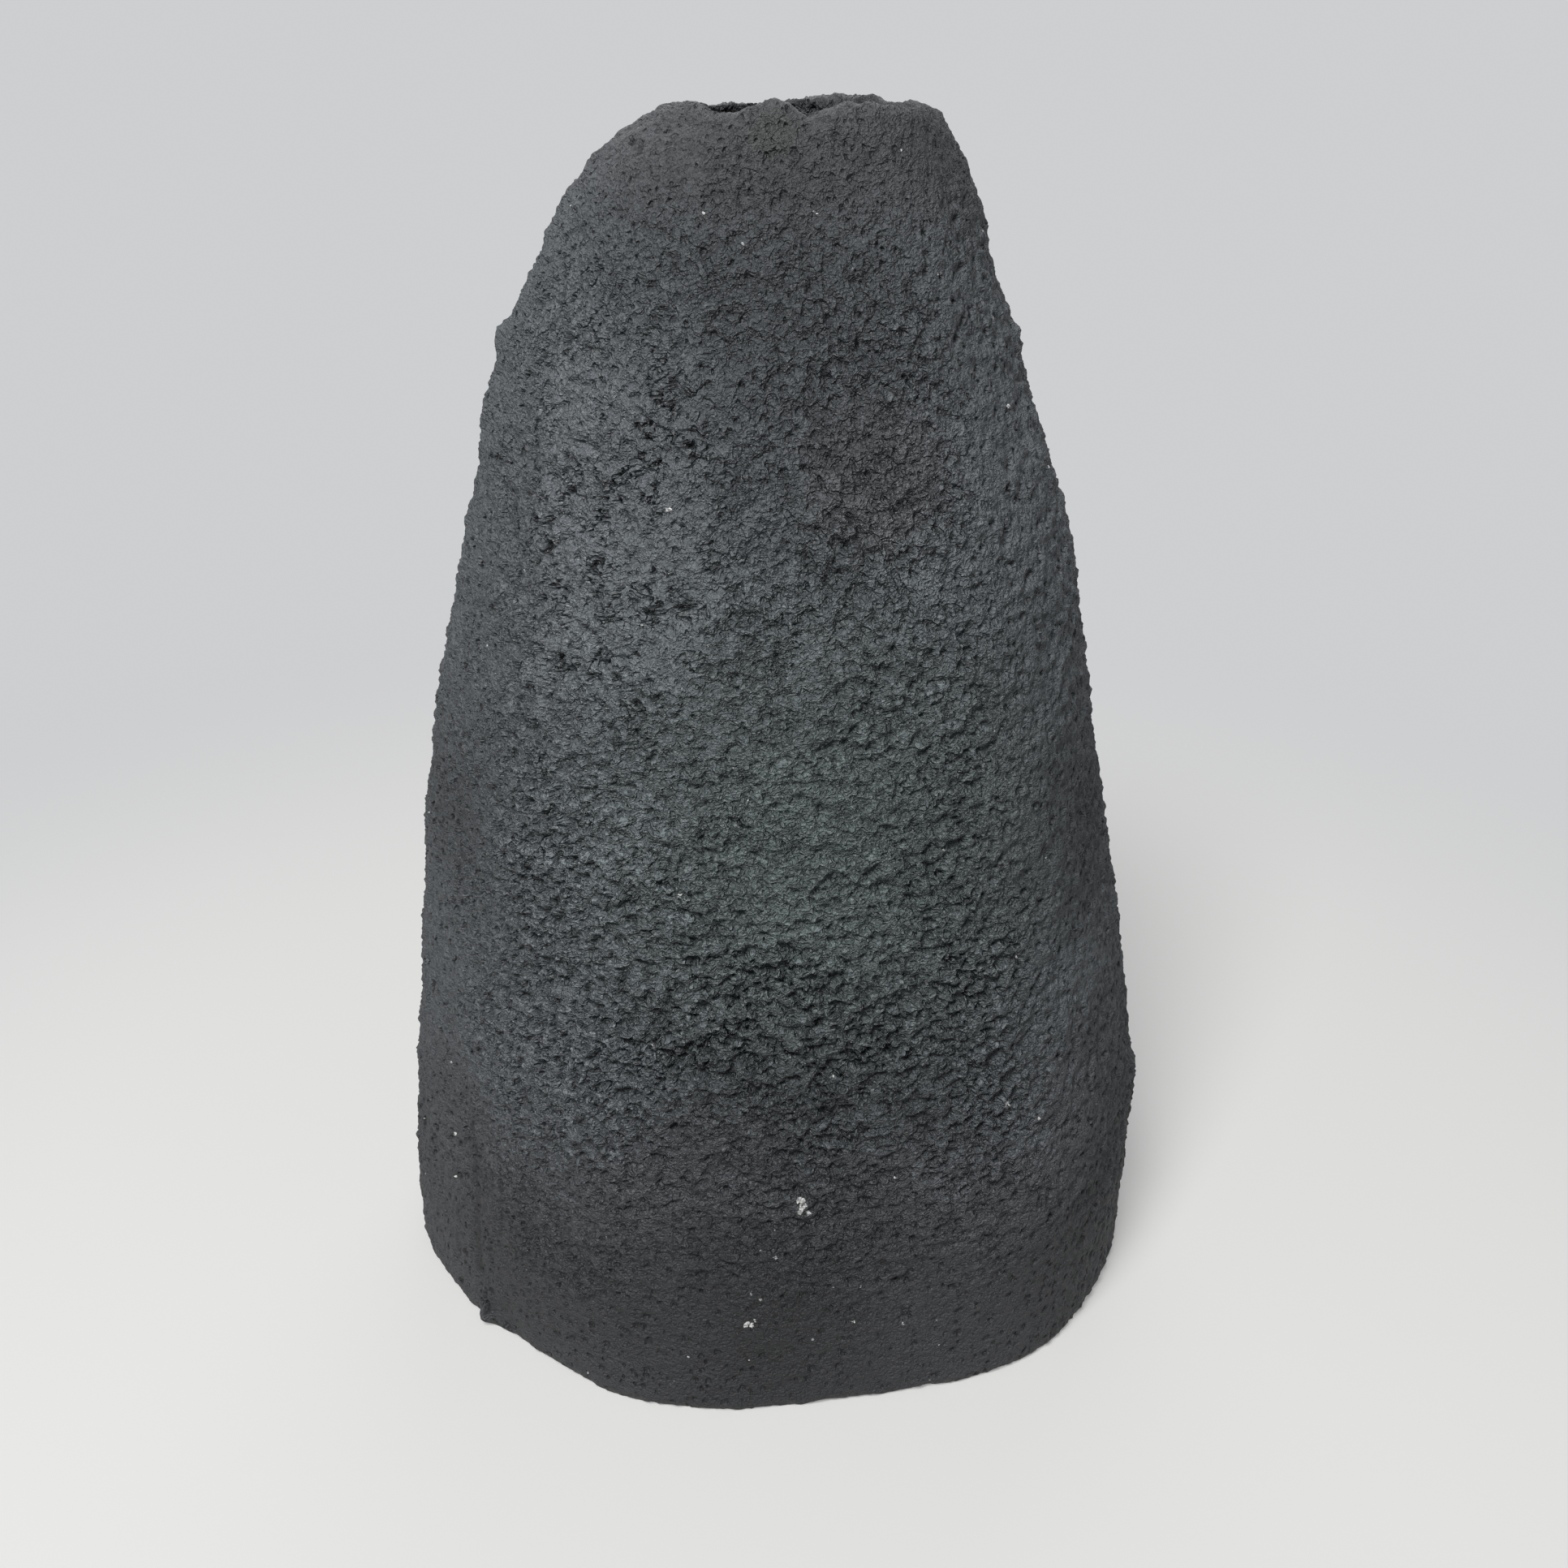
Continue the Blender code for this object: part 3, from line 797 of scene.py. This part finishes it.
liner = merged_copy("glaze_liner")
liner.name = "glaze_liner_inside"
liner.data.materials.clear()
apply_modifier(liner, "smooth form", "SUBSURF", levels=1, render_levels=1)
waves = bpy.data.textures.new("glaze waves", "CLOUDS")
waves.noise_scale = WAVE_LENGTH
apply_modifier(liner, "waves", "DISPLACE", texture=waves, texture_coords="LOCAL", strength=WAVE_HEIGHT,
               mid_level=0.5)
bpy.ops.object.shade_smooth()
print("liner triangles", sum(len(f.vertices) - 2 for f in liner.data.polygons))

# %% [markdown]
# ## The clay's finish
# The clay is a dark grey body with iron and manganese in it. It isn't one colour: greenish in the middle,
# purplish at the mouth and foot, and darker towards the foot. Broad patches are laid on it, given as places
# with a reach in millimetres and a change of brightness. They are partly the clay's own colour and partly
# painted light and shade: lighter at the middle left, where the lamp's light falls, and darker at the edges
# and on the side turned from the lamp.

# %% Tones of the clay, partly painted light and shade
PLAIN_CLAY = (0.096, 0.105, 0.113, 1)
GREEN_CLAY = (0.090, 0.108, 0.107, 1)
BROWN_CLAY = (0.082, 0.082, 0.086, 1)
LOW_CLAY = (0.062, 0.064, 0.069, 1)
WORN_EDGE = (0.170, 0.160, 0.140, 1)
OLIVE_CLAY = (0.128, 0.128, 0.112, 1)
WHITE_SPECK = (0.50, 0.50, 0.48, 1)
# Each patch: a place and a reach in millimetres, and a change of brightness; some are the clay's own colour,
# others painted light and shade.
TONES_AND_PAINTED_LIGHT = [
    ((6, -36, 215), 60, -0.38), ((32, -12, 244), 24, -0.50), ((0, -26, 245), 45, -0.28),
    ((27, -28, 228), 22, 0.12), ((-35, -42, 160), 40, 0.04), ((28, -44, 170), 28, 0.14),
    ((12, -56, 118), 50, 0.26), ((-33, -54, 122), 30, 0.40), ((34, -52, 122), 28, -0.18),
    ((-63, -22, 120), 32, -0.42), ((62, -24, 118), 34, -0.62), ((8, -63, 76), 42, -0.28),
    ((-42, -52, 80), 34, 0.30), ((78, -18, 60), 40, -0.26), ((0, -66, 20), 52, -0.56),
    ((-50, -52, 24), 38, -0.38), ((58, -44, 20), 38, -0.30), ((48, -28, 190), 40, 0.14),
]


def tone_and_painted_light(surface):
    share = None
    for centre, reach, change in TONES_AND_PAINTED_LIGHT:
        patch = surface.near([v * MM for v in centre], reach * MM) * change + 1
        share = patch if share is None else share * patch
    return share


def mixed(tree, share, first, second):
    mix = box(tree, "ShaderNodeMix", {"Factor": share}, data_type="RGBA")
    wire(tree, first, mix.inputs[6])
    wire(tree, second, mix.inputs[7])
    return mix.outputs[2]


print("tones", len(TONES_AND_PAINTED_LIGHT))

# %% [markdown]
# On the tones come sums that follow the relief: gaps, tears and pits get painted shade, darkened as the
# shadow of the fine grain would make them, tiny white specks shine, and the lower edge is worn pale. Torn
# clay has a slight sheen, wiped clay is dull. The finish reads the place that each point had before it was
# moved, so its plates, tears and pits lie on those of the mesh, and its bump adds the grain that is finer
# than the net.

# %% Clay finish
SAND = 0.60 * MM
# Painted shade: the first share darkens the gaps, tears, pits and crevices; the second darkens the clay
# inside the mouth.
PAINTED_SHADE_IN_HOLLOWS, DARK_INSIDE = 0.84, 0.62
CLAY_SHEEN = 0.40
BUMP_DEPTH = 1.7 * MM


def clay_finish(name):
    look = bpy.data.materials.new(name)
    look.use_nodes = True
    tree = look.node_tree
    shader = tree.nodes["Principled BSDF"]
    rest = Surface(tree, box(tree, "ShaderNodeAttribute", attribute_name="rest").outputs["Vector"])
    crevice_shade, torn, coarse, inner = [
        Field(tree, box(tree, "ShaderNodeAttribute", attribute_name=note).outputs["Fac"])
        for note in ("crevice_shade", "torn", "coarse", "inner")
    ]
    height = rest.axis("Z")

    pit, prick = pits(rest)
    sand = rest.noise(SAND, 2, 0.6)
    small_crumb = crumbs(rest, SMALL_CRUMB)
    plate, edge = plates(rest, PLATE)
    small_plate, small_edge = plates(rest, SMALL_PLATE)
    broken = torn * (coarse * -0.8 + 1)
    gaps = (plate * -0.55).math("MAXIMUM", small_plate * -0.45)
    creases = gaps.math("MAXIMUM", small_crumb.ramp(0.30, 0.0) * 0.2) * (broken * 0.90 + 0.10)
    long_lip, long_hollow = tears(rest, *LONG_TEAR)
    short_lip, short_hollow = tears(rest, *SHORT_TEAR)
    creases = creases.math("MAXIMUM", long_hollow * (coarse * 0.85 + torn * 0.20))
    creases = creases.math("MAXIMUM", short_hollow * broken * 0.95)
    near_mouth, worn_foot = height.ramp(0.215, 0.238), rest.near((0.008, -0.066, 0.018), 0.055)
    open_pits = (torn * -0.6 + 1) * (near_mouth * -0.5 + 1) * (worn_foot * -0.65 + 1)
    hollow = creases.math("MAXIMUM", pit * open_pits * 0.56).math("MAXIMUM", prick * open_pits * 0.88)
    hollow = hollow.math("MAXIMUM", crevice_shade)
    pale = rest.noise(16 * MM, 3, 0.6) * 0.10 + sand * 0.26 + 1
    # The hollows are darkened with painted shade, and the broad patches bring partly painted light and shade.
    shade = pale * (torn * 0.46 + 0.91) * (hollow * -PAINTED_SHADE_IN_HOLLOWS + 1) * tone_and_painted_light(rest)
    shade = shade * (inner * -DARK_INSIDE + 1)

    green = rest.near((0.012, -0.056, 0.125), 0.080)
    brown = rest.near((0.020, -0.041, 0.190), 0.022) * 0.75 + height.ramp(0.225, 0.245) * 0.5
    low = (height + rest.noise(30 * MM, 2) * 0.02).ramp(0.085, 0.030)
    olive = rest.near((0.002, -0.025, 0.246), 0.010) * 0.35
    worn = height.ramp(2.0 * MM, 0.4 * MM) * rest.noise(3 * MM, 2).ramp(-0.05, 0.35)
    speck, chance = rest.moved(0.4, 0.1, 0.2).cells(5 * MM)
    colour = mixed(tree, green, PLAIN_CLAY, GREEN_CLAY)
    colour = mixed(tree, brown, colour, BROWN_CLAY)
    colour = mixed(tree, low, colour, LOW_CLAY)
    colour = mixed(tree, olive, colour, OLIVE_CLAY)
    colour = mixed(tree, worn, colour, WORN_EDGE)
    colour = box(tree, "ShaderNodeVectorMath", {0: colour, "Scale": shade}, operation="SCALE").outputs[0]
    colour = mixed(tree, speck.ramp(0.26 * MM, 0.12 * MM) * chance.ramp(0.45, 0.50), colour, WHITE_SPECK)
    wire(tree, colour, shader.inputs["Base Color"])
    wire(tree, sand * 0.12 - torn * 0.25 + 0.60, shader.inputs["Roughness"])
    shader.inputs["Specular IOR Level"].default_value = CLAY_SHEEN

    fine = small_crumb * (broken * 0.06 + 0.16) + (plate * 0.42 + edge * 0.22) * broken
    fine = fine + (small_plate * 0.30 + small_edge * 0.15) * (broken * 0.8 + 0.20)
    bumps = fine + (long_lip * 0.4 - long_hollow * 0.5) * coarse
    bumps = bumps + (short_lip * 0.25 - short_hollow * 0.40) * broken
    bumps = bumps - pit * 0.4 - prick * 0.4 + sand * 0.15
    bump = box(tree, "ShaderNodeBump", {"Height": bumps, "Distance": BUMP_DEPTH, "Strength": 1.0})
    wire(tree, bump.outputs[0], shader.inputs["Normal"])
    return look


wall_clay = clay_finish("wall clay")
rim_clay = clay_finish("rim clay")
foot_clay = clay_finish("foot clay")
print("clay finishes", [m.name for m in (wall_clay, rim_clay, foot_clay)])

# %% [markdown]
# ## Glaze, quartz and the hidden coil
# The glaze inside is a dark satin glass: it pools darker where it ran thick, and its gloss is uneven. Quartz
# is milky white with grey veins. The coil in the inner corner of the floor is plain clay that was smoothed
# with a finger, so a soft cloud of two greys and a fine bump are enough. All three read Object coordinates.

# %% Finishes for the glaze, the quartz and the coil
GLAZE_TONES = (0.014, 0.015, 0.017, 1), (0.036, 0.038, 0.041, 1)
QUARTZ_TONES = (0.20, 0.20, 0.20, 1), (0.68, 0.68, 0.65, 1)
COIL_TONES = (0.060, 0.063, 0.067, 1), (0.100, 0.104, 0.108, 1)


def plain_finish(name, dark, light, size, gloss, depth):
    look = bpy.data.materials.new(name)
    look.use_nodes = True
    tree = look.node_tree
    shader = tree.nodes["Principled BSDF"]
    place = Surface(tree, tree.nodes.new("ShaderNodeTexCoord").outputs["Object"])
    cloud = place.noise(size, 4, 0.6, 0.4)
    wire(tree, mixed(tree, cloud.ramp(-0.5, 0.5), dark, light), shader.inputs["Base Color"])
    wire(tree, cloud * 0.10 + gloss, shader.inputs["Roughness"])
    fine = place.moved(0.1, 0, 0).noise(size / 3, 3)
    bump = box(tree, "ShaderNodeBump", {"Height": fine, "Distance": depth})
    wire(tree, bump.outputs[0], shader.inputs["Normal"])
    return look


glaze = plain_finish("liner glaze", *GLAZE_TONES, size=9 * MM, gloss=0.32, depth=0.05 * MM)
quartz_look = plain_finish("milky quartz", *QUARTZ_TONES, size=0.8 * MM, gloss=0.42, depth=0.08 * MM)
coil_clay = plain_finish("smoothed clay", *COIL_TONES, size=3 * MM, gloss=0.70, depth=0.2 * MM)
print("plain finishes", [m.name for m in (glaze, quartz_look, coil_clay)])

# %% [markdown]
# ## Hand the pieces to the frame
# Each slab takes the place of its CAD solid, which stays behind for the physics. The coil in the corner keeps
# its own CAD shape and only gets a finish.

# %% Ride, replace and name
PIECES = {
    "floor_slab": ("foot_slab_clay", "foot_clay", foot_clay),
    "rim_coil": ("rim_band_clay", "rim_clay", rim_clay),
}
for node in WALLS:
    PIECES[node] = (node + "_clay", "wall_clay", wall_clay)
slabs["glaze_liner"] = liner
PIECES["glaze_liner"] = ("glaze_inside", "liner_glaze", glaze)


def dress(obj, name, slot, look):
    obj.name = name
    obj.data.name = name
    obj.data.materials.clear()
    obj.data.materials.append(look)
    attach(obj, "root")


for node, finish in PIECES.items():
    dress(slabs[node], *finish)
    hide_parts(node)
dress(quartz, "quartz_grains", "wall_clay", quartz_look)
corner_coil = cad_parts["floor_seam_coil"]
corner_coil.data.materials.clear()
corner_coil.data.materials.append(coil_clay)
print("pieces", [o.name for o in slabs.values()], quartz.name)

# %% [markdown]
# ## Light and floor
# The photograph was taken in a white room: soft light from above and in front, a pale table, a pale wall.
# One large lamp from the upper left, a weak one from behind and the light of the room do the same. The grey
# of the wall shows to the camera, in reflections and through glass, and doesn't light the clay otherwise.
# The floor gives part of its brightness itself, and fades out into the wall.

# %% Floor
FLOOR_SIZE = 3.0
FLOOR_FADE_REACH = 0.70
FLOOR_SEEN, FLOOR_BOUNCE = (0.70, 0.695, 0.685, 1), (0.17, 0.17, 0.17, 1)
OWN_LIGHT = 0.36


def shown_directly(tree):
    """1 for what the camera sees, also in a reflection or through glass, and 0 for light that bounces."""
    path = box(tree, "ShaderNodeLightPath")
    seen = Field(tree, path.outputs["Is Camera Ray"])
    for name in ("Is Glossy Ray", "Is Transmission Ray"):
        seen = seen.math("MAXIMUM", path.outputs[name])
    return seen


bpy.ops.mesh.primitive_plane_add(size=FLOOR_SIZE, location=(0, 0, 0))
floor = bpy.context.object
floor.name = "floor"
pale_floor = bpy.data.materials.new("pale floor")
pale_floor.use_nodes = True
tree = pale_floor.node_tree
shader = tree.nodes["Principled BSDF"]
lit_share = [v * (1 - OWN_LIGHT) for v in FLOOR_SEEN[:3]] + [1]
wire(tree, mixed(tree, shown_directly(tree), FLOOR_BOUNCE, lit_share), shader.inputs["Base Color"])
shader.inputs["Emission Color"].default_value = FLOOR_SEEN
wire(tree, shown_directly(tree) * OWN_LIGHT, shader.inputs["Emission Strength"])
shader.inputs["Roughness"].default_value = 0.6
shader.inputs["Specular IOR Level"].default_value = 0.1
place = Surface(tree, tree.nodes.new("ShaderNodeTexCoord").outputs["Object"])
fade = place.near((0, 0, 0), FLOOR_FADE_REACH).ramp(0.30, 0.85)
wire(tree, fade, shader.inputs["Alpha"])
floor.data.materials.append(pale_floor)
print("floor", floor.name)

# %% [markdown]
# Both lamps point at the middle of the vase. The light of the room comes evenly from all round and is a
# little blue, as daylight is.

# %% Lamps and world
LIT_POINT = Vector((0, 0, 0.12))
WALL_GREY = (0.615, 0.620, 0.632, 1)
ROOM_TINT, ROOM_STRENGTH = (0.9, 0.95, 1.0, 1), 0.19


def lamp(name, place, size, energy):
    bpy.ops.object.light_add(type="AREA", location=place)
    obj = bpy.context.object
    obj.name = name
    obj.data.shape = "DISK"
    obj.data.size = size
    obj.data.energy = energy
    obj.rotation_euler = (LIT_POINT - obj.location).to_track_quat("-Z", "Y").to_euler()


lamp("ceiling light", place=(-0.28, -0.72, 1.10), size=0.5, energy=19.6)
lamp("far window", place=(0.10, 0.85, 0.75), size=0.9, energy=2.2)

world = bpy.data.worlds.new("room")
bpy.context.scene.world = world
world.use_nodes = True
tree = world.node_tree
room, wall = tree.nodes["Background"], tree.nodes.new("ShaderNodeBackground")
room.inputs["Color"].default_value = ROOM_TINT
room.inputs["Strength"].default_value = ROOM_STRENGTH
wall.inputs["Color"].default_value = WALL_GREY
mix = box(tree, "ShaderNodeMixShader", {0: shown_directly(tree), 1: room.outputs[0], 2: wall.outputs[0]})
tree.links.new(mix.outputs[0], tree.nodes["World Output"].inputs["Surface"])
bpy.context.scene.view_settings.view_transform = "Standard"
